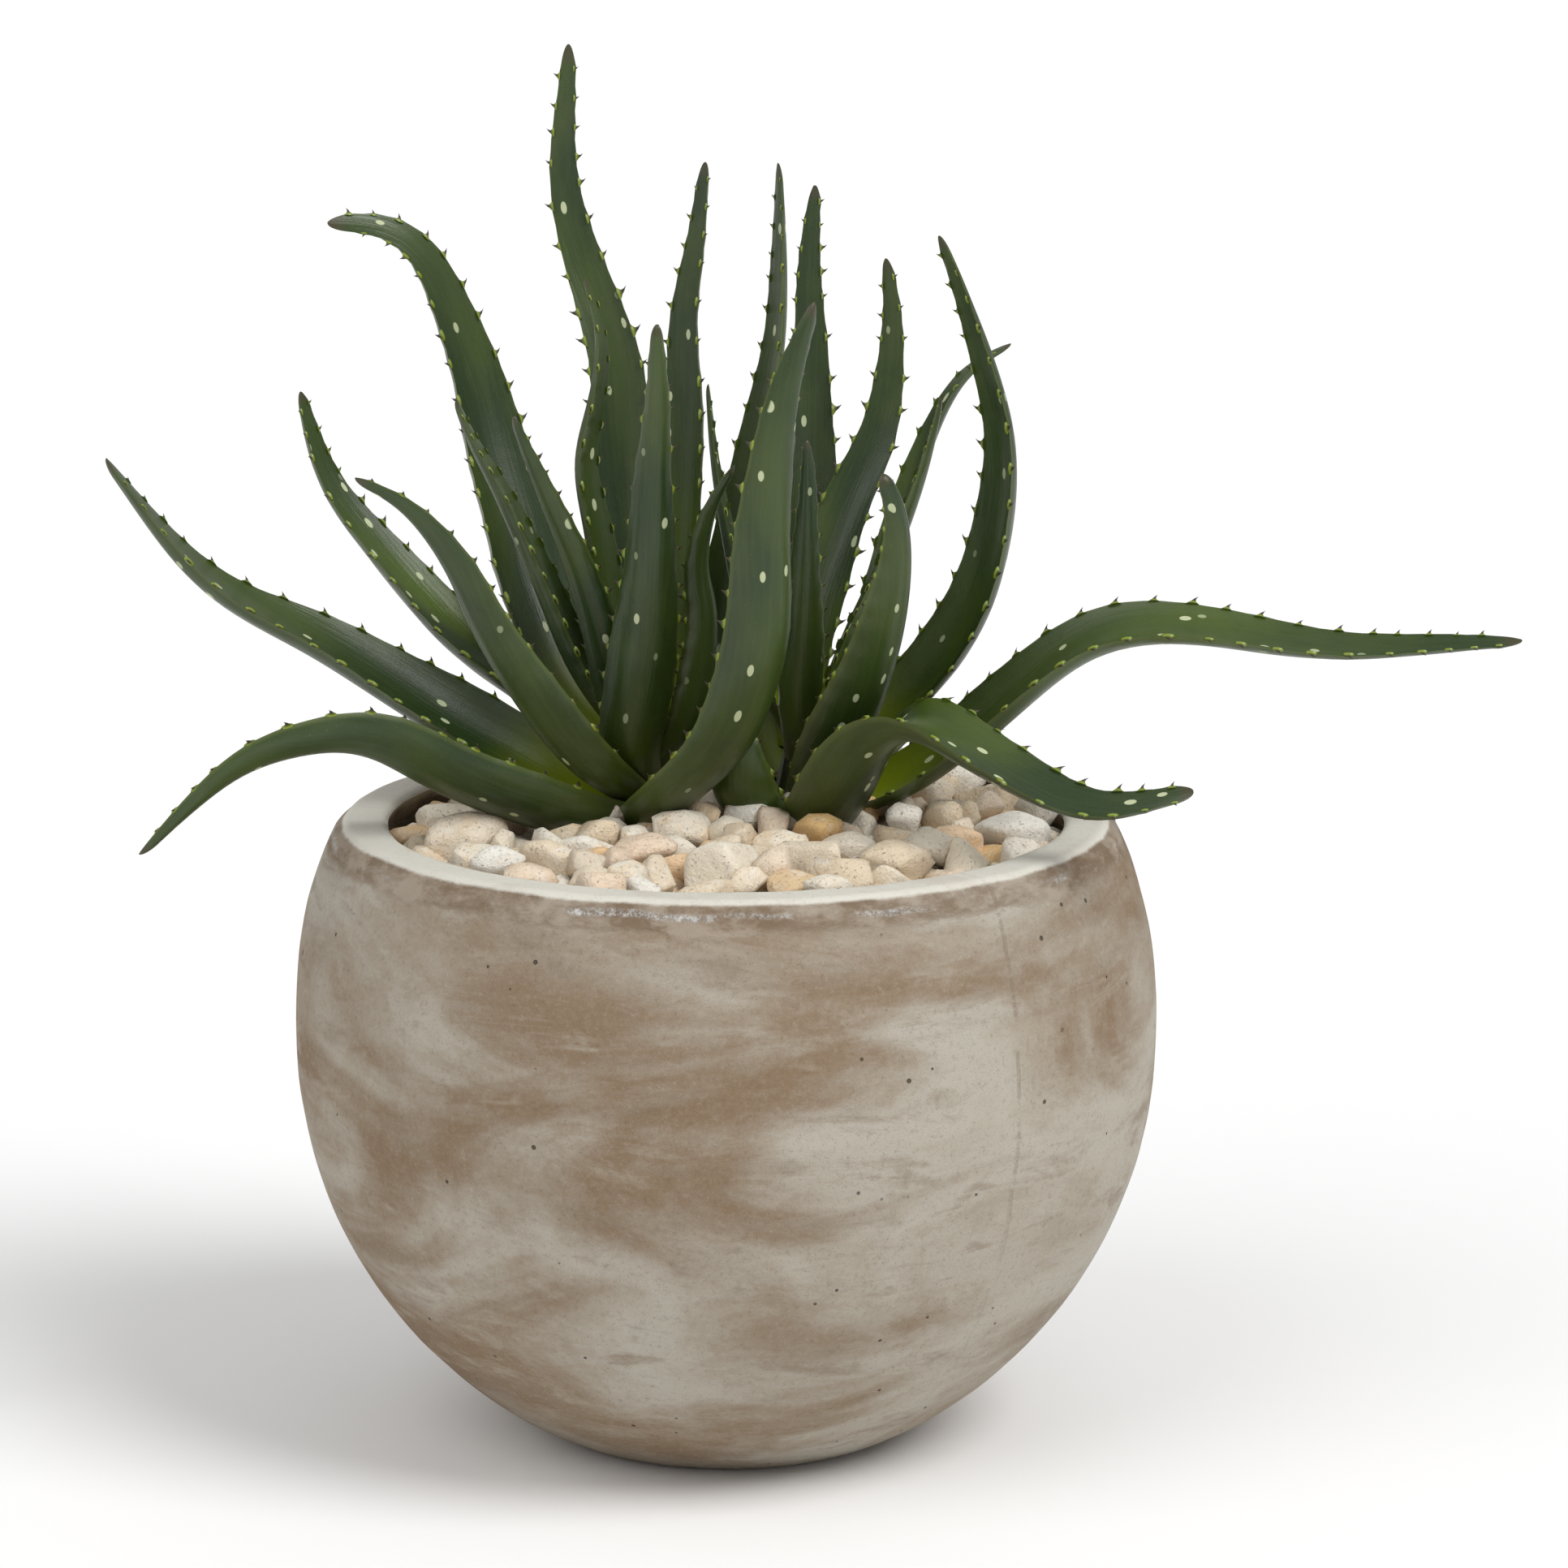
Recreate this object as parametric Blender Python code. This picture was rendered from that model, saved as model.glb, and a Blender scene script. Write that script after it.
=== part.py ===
"""A potted aloe: two rosettes of toothed succulent leaves, planted side by side in a round
cast planter that is filled with soil and topped with a layer of pebbles.

Metres, +Z up. The origin is the centre of the planter's flat foot. The planter is turned
about +Z, the front of the plant faces -Y, and its longest low leaf points along +X.
"""

import math
from collections import namedtuple

import bmesh
import bpy
from mathutils import Matrix, Quaternion, Vector, noise

MM = 0.001
GAP = 0.4 * MM  # clearance kept between pieces that touch

# Planter: a turned bowl that is widest below its rim, with a flat rim and a flat foot.
RIM_HEIGHT = 0.220
RIM_RADIUS = 0.134
BELLY_HEIGHT = 0.145
BELLY_RADIUS = 0.1505
FOOT_RADIUS = 0.057
WALL = 0.017
FLOOR = 0.020
SHOULDER_POWER = 2.4  # how late the wall turns in towards the rim
RIM_ROUND = 0.003
TURNED_STEPS = 40

# Filling: soil up to SOIL_TOP, and on it a low mound of pebbles.
SOIL_TOP = 0.197
BED_EDGE = 0.210
BED_CROWN = 0.216
BED_RADIUS = RIM_RADIUS - WALL - 2.5 * MM

# Leaf build: every leaf is one section swept along a smooth spine.
LEAF_STATIONS = 13
UNDERSIDE_POINTS = 5
BASE_WIDTH = 0.46  # share of the full width at the crown
TIP_WIDTH = 0.15
TIP_ROUND = 0.035  # share of the length over which the blunt tip closes

# Crowns: the short stems that the leaves clasp, as x, y, radius at the pebbles and height.
Crown = namedtuple("Crown", "x y radius top")
CROWN_TAPER = 0.30
CROWNS = {
    "left": Crown(-0.031, 0.010, 0.0115, 0.258),
    "right": Crown(0.026, 0.012, 0.0115, 0.256),
}

# One row for each leaf: height of its attachment, full width, roll at the crown and further
# twist by the tip (degrees, right-handed about the growing direction), where along its length
# it is widest, how late it tapers, and the points that its spine passes through after the
# crown. Lengths are in millimetres.
Leaf = namedtuple("Leaf", "foot width roll twist widest taper spine")
LEAVES = {
    "left": {
        "arching_front": Leaf(222, 25, 35, -15, 0.25, 1.7, [
            (-57, -8, 231), (-91, -29, 246), (-124, -46, 260), (-160, -62, 256),
            (-181, -72, 241), (-197, -76, 223)]),
        "long_side": Leaf(225.6, 28, -45, 40, 0.32, 1.25, [
            (-59, 8, 236), (-95, 14, 256), (-138, 20, 280), (-179, 16, 302), (-214, 10, 344)]),
        "side_back": Leaf(234, 23, -10, -10, 0.35, 1.25, [
            (-58, 24, 256), (-94, 40, 280), (-127, 52, 313), (-142, 56, 333), (-150, 58, 360)]),
        "front_side": Leaf(232, 24, 0, 0, 0.26, 1.25, [
            (-49, -18, 249), (-75, -38, 289), (-89, -52, 319), (-106, -62, 341), (-123, -68, 350)]),
        "hooked_back": Leaf(243, 34, -20, 0, 0.38, 1.25, [
            (-53, 26, 267), (-79, 52, 327), (-92, 62, 366), (-107, 58, 407), (-121, 54, 421),
            (-138, 48, 423)]),
        "tallest": Leaf(239, 27, 0, 0, 0.3, 1.0, [
            (-29, 42, 270), (-37, 64, 327), (-40, 76, 373), (-56, 88, 415), (-58, 90, 440),
            (-56, 90, 479)]),
        "front_hero": Leaf(223, 26, 0, 0, 0.42, 1.5, [
            (-22, -17, 231), (1, -37, 259), (11, -48, 299), (13, -54, 339), (20, -58, 378),
            (30, -60, 408)]),
        "front_upright": Leaf(236, 24, 0, 0, 0.3, 1.0, [
            (-33, -9, 251), (-27, -22, 289), (-25, -34, 324), (-23, -44, 365), (-22, -50, 399)]),
        "back_upright": Leaf(246, 21, 0, 0, 0.26, 1.25, [
            (-22, 24, 272), (-18, 32, 313), (-15, 38, 358), (-15, 42, 392), (-10, 42, 419),
            (-7, 40, 443)]),
        "back_right": Leaf(231, 20, 0, 0, 0.3, 1.25, [
            (-11, 22, 258), (0, 38, 312), (9, 47, 348), (16, 53, 379), (18, 55, 413),
            (18, 55, 441)]),
        "short_right": Leaf(239, 18, 0, 0, 0.26, 1.25, [
            (-14, -2, 258), (-9, -12, 293), (-11, -17, 310), (-6, -24, 332), (3, -30, 348)]),
        "inner_side": Leaf(250, 20, 0, 0, 0.26, 1.25, [
            (-46, 13, 269), (-60, 8, 302), (-75, 0, 334), (-86, -4, 353), (-92, -6, 367)]),
        "inner_front": Leaf(242, 17, 0, 0, 0.26, 1.25, [
            (-40, -6, 276), (-49, -18, 311), (-59, -28, 335), (-67, -34, 355), (-71, -37, 366)]),
        "inner_wavy": Leaf(252, 16, 0, 0, 0.26, 1.25, [
            (-36, 13, 280), (-44, 14, 322), (-48, 14, 342), (-43, 12, 366), (-42, 10, 388),
            (-48, 8, 407)]),
        "low_back": Leaf(227, 22, 0, 0, 0.26, 1.25, [
            (-36, 46, 236), (-44, 80, 250), (-52, 116, 248), (-58, 146, 232)]),
    },
    "right": {
        "folded_front": Leaf(222, 28, 0, 60, 0.3, 1.25, [
            (34, -16, 237), (47, -34, 260), (66, -50, 269), (90, -66, 256), (122, -80, 241),
            (157, -88, 247)]),
        "long_side": Leaf(227, 26, 25, 15, 0.26, 1.25, [
            (58, 2, 233), (88, -8, 260), (121, -16, 288), (155, -22, 294), (207, -28, 286),
            (272, -32, 288)]),
        "bowed_side": Leaf(233, 20, 20, 10, 0.26, 1.25, [
            (54, 14, 254), (73, 10, 278), (86, 4, 310), (92, 0, 348), (86, -2, 382),
            (73, -4, 423)]),
        "stub_front": Leaf(223, 21, 0, 0, 0.4, 1.25, [(8, -4, 231), (2, -11, 242), (-2, -14, 254)]),
        "hooked_back": Leaf(241, 18, 0, 0, 0.3, 1.25, [
            (43, 20, 265), (58, 36, 317), (71, 48, 350), (84, 54, 369), (100, 58, 377)]),
        "back_lean": Leaf(244, 21, 0, 0, 0.3, 1.25, [
            (27, 40, 276), (42, 60, 319), (54, 68, 345), (59, 73, 375), (56, 74, 405)]),
        "back_upright": Leaf(233, 23, 0, 0, 0.3, 1.25, [
            (19, 42, 258), (29, 68, 315), (30, 80, 353), (29, 87, 389), (31, 90, 429)]),
        "inner_side": Leaf(247, 17, 0, 0, 0.3, 1.25, [
            (40, 12, 279), (54, 14, 309), (65, 14, 335), (71, 14, 353), (74, 12, 365)]),
        "front_side": Leaf(231, 21, 0, 0, 0.3, 1.25, [
            (38, -8, 254), (52, -26, 287), (59, -40, 315), (58, -50, 336), (53, -54, 347)]),
        "inner_front": Leaf(241, 15, 0, 0, 0.3, 1.25, [
            (26, -1, 262), (27, -12, 295), (28, -20, 325), (28, -26, 356)]),
        "inner_slim": Leaf(248, 14, 0, 0, 0.3, 1.0, [
            (14, 14, 270), (2, 18, 318), (-3, 22, 343), (-6, 22, 368)]),
        "low_back": Leaf(228, 22, 0, 0, 0.26, 1.25, [
            (44, 38, 236), (62, 70, 250), (78, 98, 246), (90, 122, 228)]),
        "low_back_inner": Leaf(225, 20, 0, 0, 0.26, 1.25, [
            (10, 44, 234), (2, 84, 252), (-4, 118, 256), (-8, 148, 250)]),
    },
}

# Loose stones on the mound: bearing (degrees from +X), distance from the middle, and size.
Pebble = namedtuple("Pebble", "bearing reach size")
PEBBLE_SQUASH = 0.72
PEBBLE_SUBDIVISIONS = 2
PEBBLES = [
    Pebble(196, 92, 15), Pebble(214, 100, 11), Pebble(228, 88, 13), Pebble(244, 99, 10),
    Pebble(253, 84, 10), Pebble(267, 101, 10), Pebble(271, 77, 13), Pebble(284, 98, 11),
    Pebble(292, 76, 12), Pebble(303, 99, 10), Pebble(314, 84, 13), Pebble(327, 100, 12),
    Pebble(340, 84, 10), Pebble(351, 100, 13), Pebble(8, 80, 11), Pebble(24, 99, 12),
    Pebble(48, 98, 12), Pebble(72, 96, 10), Pebble(98, 100, 12), Pebble(126, 96, 11),
    Pebble(150, 98, 13), Pebble(174, 98, 10), Pebble(243, 62, 11), Pebble(267, 54, 10),
    Pebble(292, 51, 10), Pebble(312, 62, 10), Pebble(225, 66, 9),
]


def clear_scene():
    for obj in list(bpy.data.objects):
        bpy.data.objects.remove(obj, do_unlink=True)


def finish(name, colour, roughness):
    """A Principled material of one colour."""
    material = bpy.data.materials.new(name)
    material.use_nodes = True
    shader = material.node_tree.nodes["Principled BSDF"]
    shader.inputs["Base Color"].default_value = (*colour, 1.0)
    shader.inputs["Roughness"].default_value = roughness
    shader.inputs["Metallic"].default_value = 0.0
    return material


def add_object(name, mesh, material, parent=None):
    obj = bpy.data.objects.new(name, mesh)
    obj.data.materials.append(material)
    obj.parent = parent
    bpy.context.scene.collection.objects.link(obj)
    return obj


def add_empty(name):
    empty = bpy.data.objects.new(name, None)
    bpy.context.scene.collection.objects.link(empty)
    return empty


def mesh_from(build_mesh, name, smooth_angle=40):
    mesh = bpy.data.meshes.new(name)
    build_mesh.to_mesh(mesh)
    build_mesh.free()
    mesh.shade_smooth()
    mesh.set_sharp_from_angle(angle=math.radians(smooth_angle))
    return mesh


def turned_mesh(name, profile, steps=TURNED_STEPS):
    """A closed solid turned about Z from (radius, height) points that run from axis to axis."""
    shape = bmesh.new()
    points = [shape.verts.new((radius, 0, height)) for radius, height in profile]
    edges = [shape.edges.new(pair) for pair in zip(points, points[1:])]
    bmesh.ops.spin(
        shape, geom=points + edges, axis=(0, 0, 1), cent=(0, 0, 0),
        angle=2 * math.pi, steps=steps, use_merge=True, use_duplicate=False,
    )
    bmesh.ops.remove_doubles(shape, verts=shape.verts, dist=0.01 * MM)
    bmesh.ops.recalc_face_normals(shape, faces=shape.faces)
    return mesh_from(shape, name)


def outer_radius(height):
    """Radius of the planter's outside: an ellipse below the belly, a soft shoulder above."""
    if height >= BELLY_HEIGHT:
        rise = (height - BELLY_HEIGHT) / (RIM_HEIGHT - BELLY_HEIGHT)
        return BELLY_RADIUS - (BELLY_RADIUS - RIM_RADIUS) * rise**SHOULDER_POWER
    half_axis = BELLY_HEIGHT / math.sqrt(1 - (FOOT_RADIUS / BELLY_RADIUS) ** 2)
    return BELLY_RADIUS * math.sqrt(1 - ((BELLY_HEIGHT - height) / half_axis) ** 2)


def inner_radius(height):
    """Radius of the planter's inside, one wall thickness in from the outside."""
    return outer_radius(height) - WALL


def spread(start, end, count):
    return [start + (end - start) * i / (count - 1) for i in range(count)]


def add_planter(material):
    outside = [(outer_radius(z), z) for z in spread(0, BELLY_HEIGHT, 9)]
    outside += [(outer_radius(z), z) for z in spread(BELLY_HEIGHT, RIM_HEIGHT - RIM_ROUND, 5)[1:]]
    rim = [
        (RIM_RADIUS - RIM_ROUND, RIM_HEIGHT),
        (RIM_RADIUS - WALL + RIM_ROUND / 2, RIM_HEIGHT),
        (RIM_RADIUS - WALL, RIM_HEIGHT - RIM_ROUND / 2),
    ]
    inside = [(inner_radius(z), z) for z in spread(RIM_HEIGHT - 0.02, FLOOR + 0.012, 6)]
    floor = [(inner_radius(FLOOR + 0.012) - 0.012, FLOOR), (0, FLOOR)]
    profile = [(0, 0)] + outside + rim + inside + floor
    return add_object("planter", turned_mesh("planter", profile), material)


def add_soil(material):
    side = [(inner_radius(z) - 1.5 * MM, z) for z in spread(FLOOR + 0.013, SOIL_TOP, 5)]
    foot = [(0, FLOOR + GAP), (side[0][0] - 0.012, FLOOR + GAP)]
    return add_object("soil", turned_mesh("soil", foot + side + [(0, SOIL_TOP)]), material)


def bed_height(distance):
    """Height of the pebble mound at a distance from the planter's axis."""
    return BED_EDGE + (BED_CROWN - BED_EDGE) * (1 - (distance / BED_RADIUS) ** 2)


def crown_radius(crown, height):
    """Radius of a crown, which narrows evenly above the pebbles."""
    return crown.radius - CROWN_TAPER * max(0.0, height - BED_CROWN) * 0.75


def add_crown(side, crown, material, parent):
    foot = SOIL_TOP + GAP
    heights = [foot, BED_CROWN] + spread(BED_CROWN, crown.top, 4)[1:]
    profile = [(0, foot)] + [(crown_radius(crown, z), z) for z in heights] + [(0, crown.top + 2 * MM)]
    mesh = turned_mesh(f"{side}_crown", profile, 12)
    mesh.transform(Matrix.Translation((crown.x, crown.y, 0)))
    return add_object(f"{side}_crown", mesh, material, parent)


def smooth_path(points, count):
    """Points at even distances along a Catmull-Rom curve through the given points."""
    ends = [2 * points[0] - points[1], *points, 2 * points[-1] - points[-2]]
    dense = [points[0]]
    for before, start, end, after in zip(ends, ends[1:], ends[2:], ends[3:]):
        for t in spread(0, 1, 25)[1:]:
            dense.append(0.5 * (
                2 * start + (end - before) * t
                + (2 * before - 5 * start + 4 * end - after) * t**2
                + (3 * start - before - 3 * end + after) * t**3
            ))
    lengths = [0.0]
    for a, b in zip(dense, dense[1:]):
        lengths.append(lengths[-1] + (b - a).length)
    path, index = [], 0
    for wanted in spread(0, lengths[-1], count):
        while index < len(dense) - 2 and lengths[index + 1] < wanted:
            index += 1
        share = (wanted - lengths[index]) / (lengths[index + 1] - lengths[index])
        path.append(dense[index].lerp(dense[index + 1], share))
    return path


def leaf_spine(crown, leaf):
    """Control points of a leaf's spine. The first lies on the crown, below the second."""
    points = [Vector(point) * MM for point in leaf.spine]
    height = leaf.foot * MM
    outward = Vector((points[0].x - crown.x, points[0].y - crown.y, 0)).normalized()
    reach = crown_radius(crown, height) + 2.5 * GAP
    return [Vector((crown.x, crown.y, height)) + outward * reach] + points, outward


def sweep_frames(path, outward, roll, twist):
    """(point, across, up) along a path: up starts towards the crown's axis and is carried along
    the path without spin, apart from the roll and twist asked for."""
    frames = []
    up = Vector((0, 0, 1)) - outward
    for i, point in enumerate(path):
        ahead = path[min(i + 1, len(path) - 1)] - path[max(i - 1, 0)]
        ahead.normalize()
        up = (up - ahead * up.dot(ahead)).normalized()
        turn = math.radians(roll + twist * i / (len(path) - 1))
        turned = Quaternion(ahead, turn) @ up
        frames.append((point, ahead.cross(turned), turned))
    return frames


def leaf_width(leaf, t):
    """Width of a leaf in metres, t going from the crown (0) to the tip (1)."""
    if t < leaf.widest:
        width = BASE_WIDTH + (1 - BASE_WIDTH) * math.sin(t / leaf.widest * math.pi / 2)
    else:
        width = TIP_WIDTH + (1 - TIP_WIDTH) * (1 - ((t - leaf.widest) / (1 - leaf.widest))**leaf.taper)
    closing = max(0.0, (t - 1 + TIP_ROUND) / TIP_ROUND)
    return leaf.width * MM * width * math.sqrt(1 - 0.8 * closing**2)


def leaf_section(t):
    """(across, up) points round a leaf, as shares of its local width. The underside is round,
    and the upper side is a channel that fills out into a round tip."""
    bulge = 0.36 + 0.14 * t
    channel = 0.13 - 0.50 * max(0.0, t - 0.45)
    underside = [math.pi * i / (UNDERSIDE_POINTS + 1) for i in range(UNDERSIDE_POINTS + 2)]
    points = [(-0.5 * math.cos(a), -bulge * math.sin(a) ** 1.2) for a in underside[:-1]]
    points.append((0.5, 0.0))
    return points + [(0.24, -channel), (-0.24, -channel)]


def leaf_mesh(name, crown, leaf):
    spine, outward = leaf_spine(crown, leaf)
    path = smooth_path(spine, LEAF_STATIONS)
    frames = sweep_frames(path, outward, leaf.roll, leaf.twist)
    shape = bmesh.new()
    rings = []
    for i, (point, across, up) in enumerate(frames):
        t = i / (len(frames) - 1)
        width = leaf_width(leaf, t)
        rings.append([
            shape.verts.new(point + across * (x * width) + up * (y * width))
            for x, y in leaf_section(t)
        ])
    for ring, following in zip(rings, rings[1:]):
        for i in range(len(ring)):
            j = (i + 1) % len(ring)
            shape.faces.new((ring[i], ring[j], following[j], following[i]))
    shape.faces.new(rings[0])
    shape.faces.new(rings[-1])
    bmesh.ops.recalc_face_normals(shape, faces=shape.faces)
    return mesh_from(shape, name, 60)


def pebble_mesh(name, pebble, seed, swell=0.0):
    """A rounded stone, longer than it is high, half sunk in the mound."""
    shape = bmesh.new()
    bmesh.ops.create_icosphere(shape, subdivisions=PEBBLE_SUBDIVISIONS, radius=1)
    half = pebble.size * MM
    offset = Vector((seed * 3.7, 1.3, 0.6))
    for vert in shape.verts:
        lumps = 1 + 0.22 * noise.noise(vert.co * 0.9 + offset)
        vert.co = Vector((vert.co.x * half, vert.co.y * half * 0.8, vert.co.z * half * PEBBLE_SQUASH)) * lumps
        vert.co += vert.co.normalized() * swell
    bearing = math.radians(pebble.bearing)
    reach = pebble.reach * MM
    place = Matrix.Translation((
        reach * math.cos(bearing), reach * math.sin(bearing), bed_height(reach) + 0.25 * half))
    shape.transform(place @ Matrix.Rotation(seed * 2.4, 4, "Z"))
    bmesh.ops.recalc_face_normals(shape, faces=shape.faces)
    return mesh_from(shape, name, 80)


def add_cutter(name, mesh):
    cutter = bpy.data.objects.new(name, mesh)
    cutter.hide_render = True
    cutter.display_type = "WIRE"
    bpy.context.scene.collection.objects.link(cutter)
    return cutter


def cut(obj, cutter):
    modifier = obj.modifiers.new(cutter.name, "BOOLEAN")
    modifier.operation = "DIFFERENCE"
    modifier.object = cutter


def add_pebble_bed(material):
    """The mound that the loose stones lie in, with a hole for each crown."""
    foot = SOIL_TOP + GAP
    top = [(d, bed_height(d)) for d in spread(BED_RADIUS, 0, 6)]
    wall = [(inner_radius(foot) - 2 * GAP - 1 * MM, foot), (BED_RADIUS, BED_EDGE - 4 * MM)]
    bed = add_object("pebble_bed", turned_mesh("pebble_bed", [(0, foot)] + wall + top), material)
    for side, crown in CROWNS.items():
        radius = crown.radius + GAP
        hole = turned_mesh(f"{side}_hole", [(0, foot - 0.01), (radius, foot - 0.01),
                                           (radius, BED_CROWN + 0.01), (0, BED_CROWN + 0.01)], 12)
        hole.transform(Matrix.Translation((crown.x, crown.y, 0)))
        cut(bed, add_cutter(f"{side}_hole", hole))
    return bed


def main():
    clear_scene()
    concrete = finish("washed_concrete", (0.42, 0.34, 0.26), 0.85)
    soil = finish("potting_soil", (0.05, 0.03, 0.02), 0.95)
    stone = finish("river_pebble", (0.78, 0.68, 0.52), 0.55)
    skin = finish("aloe_skin", (0.05, 0.13, 0.04), 0.42)
    heart = finish("aloe_crown", (0.25, 0.30, 0.08), 0.5)

    add_planter(concrete)
    add_soil(soil)
    bed = add_pebble_bed(stone)
    for i, pebble in enumerate(PEBBLES):
        name = f"pebble_{i + 1:02d}"
        add_object(name, pebble_mesh(name, pebble, i), stone)
        cut(bed, add_cutter(f"{name}_pocket", pebble_mesh(name, pebble, i, 1.0 * MM)))
    for side, crown in CROWNS.items():
        rosette = add_empty(f"{side}_rosette")
        add_crown(side, crown, heart, rosette)
        for label, leaf in LEAVES[side].items():
            name = f"{side}_leaf_{label}"
            add_object(name, leaf_mesh(name, crown, leaf), skin, rosette)


main()
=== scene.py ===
# %% [markdown]
# # A potted aloe, one finish at a time
# The frame is the measured model: a round cast planter filled with soil, a layer of pebbles,
# and two rosettes of leaves. This lesson keeps its sizes and places, and makes each surface
# as it is on the real thing. It begins by loading the frame and noting the box it fills.

# %% Load the frame
import math
import random
from collections import namedtuple

import bpy
import numpy as np
from mathutils import Matrix, Vector


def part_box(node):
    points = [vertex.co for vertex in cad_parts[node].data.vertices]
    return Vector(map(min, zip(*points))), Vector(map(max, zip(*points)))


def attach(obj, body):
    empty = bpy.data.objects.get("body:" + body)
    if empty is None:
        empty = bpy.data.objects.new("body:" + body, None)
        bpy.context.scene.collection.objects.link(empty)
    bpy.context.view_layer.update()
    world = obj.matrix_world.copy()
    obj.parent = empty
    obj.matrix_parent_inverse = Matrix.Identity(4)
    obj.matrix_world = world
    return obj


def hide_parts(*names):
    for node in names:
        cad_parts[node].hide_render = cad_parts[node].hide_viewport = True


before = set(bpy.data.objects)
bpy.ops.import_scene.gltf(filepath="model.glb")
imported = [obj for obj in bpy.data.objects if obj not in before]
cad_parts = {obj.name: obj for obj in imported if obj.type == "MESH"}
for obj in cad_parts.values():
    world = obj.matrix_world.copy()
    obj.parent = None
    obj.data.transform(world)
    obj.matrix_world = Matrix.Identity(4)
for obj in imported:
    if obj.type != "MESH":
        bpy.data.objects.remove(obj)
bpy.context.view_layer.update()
MM = 0.001

# %% [markdown]
# ## Camera, floor and light
# The plant is seen from the front, a little above its rim, through a long lens that keeps the
# planter round. The floor is one big pale sheet. Two very soft far lights, a strong one on the
# right and a weak one on the left, give the leaves long satin highlights without hard shadows.
# Being far off they light the whole floor evenly, and a pale sky fills the rest.

# %% Camera
LOOK_AT = Vector((0.0202, 0.0, 0.231))
VIEW_DISTANCE = 2.3
VIEW_ELEVATION = math.radians(12)
LENS_MM = 151.9

camera = bpy.data.objects.new("camera", bpy.data.cameras.new("camera"))
bpy.context.scene.collection.objects.link(camera)
camera.data.lens = LENS_MM
camera.data.sensor_width = 36
camera.data.clip_end = 50
camera.location = LOOK_AT + VIEW_DISTANCE * Vector((0, -math.cos(VIEW_ELEVATION), math.sin(VIEW_ELEVATION)))
camera.rotation_euler = (math.pi / 2 - VIEW_ELEVATION, 0, 0)
bpy.context.scene.camera = camera
print("camera at", [round(v, 3) for v in camera.location])


# %% Lights and sky
LAMP_DISTANCE = 3.0
SKY_STRENGTH = 0.48


def soft_light(name, towards, strength, spread_degrees):
    """A far light that shines from a direction, as soft as the angle that it fills."""
    lamp = bpy.data.objects.new(name, bpy.data.lights.new(name, "SUN"))
    bpy.context.scene.collection.objects.link(lamp)
    lamp.data.energy = strength
    lamp.data.angle = math.radians(spread_degrees)
    lamp.location = Vector(towards).normalized() * LAMP_DISTANCE
    lamp.rotation_euler = Vector(towards).to_track_quat("Z", "Y").to_euler()


soft_light("key_light", (1.0, -0.75, 1.35), 1.9, 30)
soft_light("fill_light", (-0.9, -0.9, 1.2), 0.8, 45)

sky = bpy.data.worlds.new("sky")
sky.use_nodes = True
sky.node_tree.nodes["Background"].inputs["Color"].default_value = (1, 1, 1, 1)
sky.node_tree.nodes["Background"].inputs["Strength"].default_value = SKY_STRENGTH
bpy.context.scene.world = sky
bpy.context.scene.view_settings.view_transform = "Standard"
print("two soft lights and a pale sky")

# %% [markdown]
# ## A small language for materials
# Every finish below is a recipe of shader nodes. Wiring them by hand is long, so two helpers
# come first. A `Wire` is one socket, and arithmetic on it adds the Math node that does it.
# A `Finish` is one material: `node` adds any other node, with its settings and its sockets.


# %% Wires and finishes
class Wire:
    """One output socket of a finish. Arithmetic on wires and numbers adds Math nodes."""

    def __init__(self, finish, socket):
        self.finish = finish
        self.socket = socket

    def _math(self, operation, first, second=0.0):
        return self.finish.node("Math", {0: first, 1: second}, operation=operation)

    def __add__(self, other):
        return self._math("ADD", self, other)

    __radd__ = __add__

    def __sub__(self, other):
        return self._math("SUBTRACT", self, other)

    def __rsub__(self, other):
        return self._math("SUBTRACT", other, self)

    def __mul__(self, other):
        return self._math("MULTIPLY", self, other)

    __rmul__ = __mul__

    def __abs__(self):
        return self._math("ABSOLUTE", self)

    def larger(self, other):
        return self._math("MAXIMUM", self, other)

    def rising(self, low, high):
        """0 below low, 1 above high, and a smooth step between. Swap them for a falling step."""
        return self.finish.node(
            "MapRange", {"Value": self, "From Min": low, "From Max": high}, interpolation_type="SMOOTHSTEP")


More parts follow.
